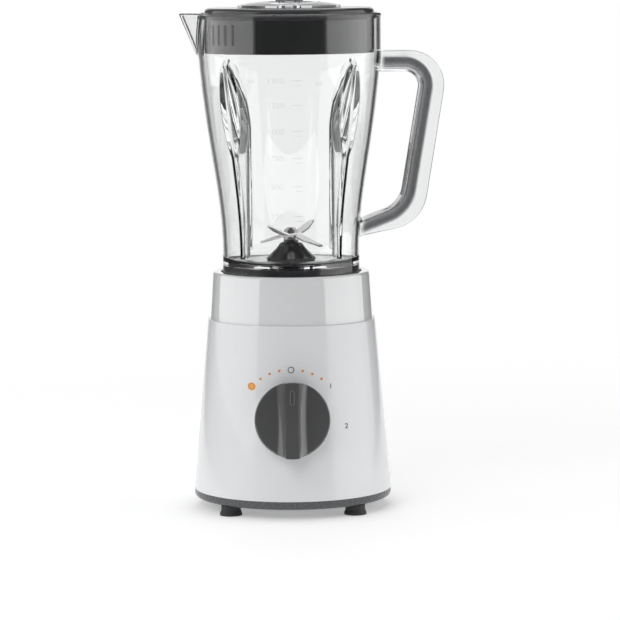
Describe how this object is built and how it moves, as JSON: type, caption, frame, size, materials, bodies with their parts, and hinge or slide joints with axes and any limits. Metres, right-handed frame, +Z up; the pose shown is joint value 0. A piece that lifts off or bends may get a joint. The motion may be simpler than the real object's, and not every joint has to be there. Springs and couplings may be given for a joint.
{
  "type": "countertop blender",
  "caption": "Countertop blender: tapered white motor base with a speed dial, clear ribbed goblet with spout and handle, blades, dark strainer lid and clear filler cap.",
  "frame": {"origin": "middle of the whole blender's footprint (spout to handle, dial to cord inlet) on the worktop", "axes": "+Z up along the drive axis, +X towards the handle, -X towards the spout, -Y towards the user at the dial, +Y towards the cord inlet"},
  "size_m": [0.1992, 0.17, 0.39],
  "materials": {
    "white_housing": "moulded satin-gloss white ABS",
    "white_collar": "polished white ABS",
    "base_trim": "dark grey moulded plastic",
    "black_rubber": "black rubber",
    "grey_seal": "dark grey silicone rubber",
    "screw_steel": "zinc-plated steel",
    "shaft_steel": "ground steel",
    "bracket_metal": "die-cast",
    "lamination_steel": "stacked laminations, varnished",
    "winding_copper": "enamelled copper wire",
    "holder_brass": "pressed brass",
    "carbon": "pressed carbon",
    "fan_plastic": "glass-filled nylon",
    "coupler_plastic": "black acetal",
    "switch_plastic": "black phenolic",
    "capacitor_film": "yellow film case",
    "knob_plastic": "satin charcoal plastic",
    "clear_plastic": "clear SAN plastic",
    "smoke_plastic": "lightly smoked clear plastic",
    "lid_plastic": "dark grey gloss plastic",
    "carrier_plastic": "dark grey moulded plastic",
    "blade_steel": "stainless steel",
    "bushing_bronze": "sintered bronze"
  },
  "bodies": {
    "base": {"main_housing": "white_housing", "top_collar": "white_collar", "bottom_cover": "base_trim", "foot_front_left": "black_rubber", "foot_front_right": "black_rubber", "foot_rear_left": "black_rubber", "foot_rear_right": "black_rubber", "cover_screws": "screw_steel", "motor_lower_bracket": "bracket_metal", "motor_upper_bracket": "bracket_metal", "stator_core": "lamination_steel", "field_coils": "winding_copper", "lower_bearing": "shaft_steel", "upper_bearing": "shaft_steel", "brush_holders": "holder_brass", "carbon_brushes": "carbon", "motor_through_bolts": "screw_steel", "motor_dampers": "black_rubber", "motor_mount_screws": "screw_steel", "air_baffle": "switch_plastic", "shaft_seal": "black_rubber", "rotary_switch": "switch_plastic", "cord_gland": "black_rubber", "gland_nut": "coupler_plastic", "suppression_capacitor": "capacitor_film", "interlock_switch": "switch_plastic", "interlock_spring": "shaft_steel"},
    "rotor": {"motor_shaft": "shaft_steel", "armature_core": "lamination_steel", "armature_windings": "winding_copper", "commutator": "winding_copper", "cooling_fan": "fan_plastic", "drive_coupler": "coupler_plastic"},
    "knob": {"speed_knob": "knob_plastic", "knob_spindle": "shaft_steel"},
    "interlock": {"interlock_pin": "coupler_plastic"},
    "goblet": {"goblet": "clear_plastic", "goblet_handle": "clear_plastic", "goblet_base_ring": "carrier_plastic", "blade_carrier": "carrier_plastic", "carrier_seal": "grey_seal", "carrier_nut": "coupler_plastic", "blade_bushing": "bushing_bronze", "shaft_lip_seal": "grey_seal"},
    "blades": {"blade_shaft": "shaft_steel", "lower_blade": "blade_steel", "upper_blade": "blade_steel", "blade_washers": "shaft_steel", "blade_nut": "shaft_steel", "driven_coupler": "coupler_plastic"},
    "lid": {"lid": "lid_plastic", "lid_seal": "grey_seal"},
    "filler_cap": {"filler_cap": "smoke_plastic"}
  },
  "joints": [
    {"name": "motor_spin", "type": "hinge", "parent": "base", "child": "rotor", "pos_m": [-0.01641, 0.00786, 0.068], "axis": [0, 0, 1], "continuous": true},
    {"name": "goblet_lift", "type": "slide", "parent": "base", "child": "goblet", "axis": [0, 0, 1], "range_m": [0, 0.1]},
    {"name": "blade_spin", "type": "hinge", "parent": "goblet", "child": "blades", "pos_m": [-0.01641, 0.00786, 0.2067], "axis": [0, 0, 1], "continuous": true},
    {"name": "lid_lift", "type": "slide", "parent": "goblet", "child": "lid", "axis": [0, 0, 1], "range_m": [0, 0.07]},
    {"name": "filler_cap_lift", "type": "slide", "parent": "lid", "child": "filler_cap", "axis": [0, 0, 1], "range_m": [0, 0.06]},
    {"name": "knob_turn", "type": "hinge", "parent": "base", "child": "knob", "pos_m": [-0.01641, -0.06153, 0.0751], "axis": [0, 0.9961, -0.0882], "range_deg": [-48, 96]},
    {"name": "interlock_slide", "type": "slide", "parent": "base", "child": "interlock", "axis": [0, 0, 1], "range_m": [0, 0.003], "deforming": ["interlock_spring"]}
  ],
  "couplings": [
    {"joint": "blade_spin", "follows": "motor_spin", "ratio": 1},
    {"joint": "interlock_slide", "follows": "goblet_lift", "ratio": 0.03}
  ]
}
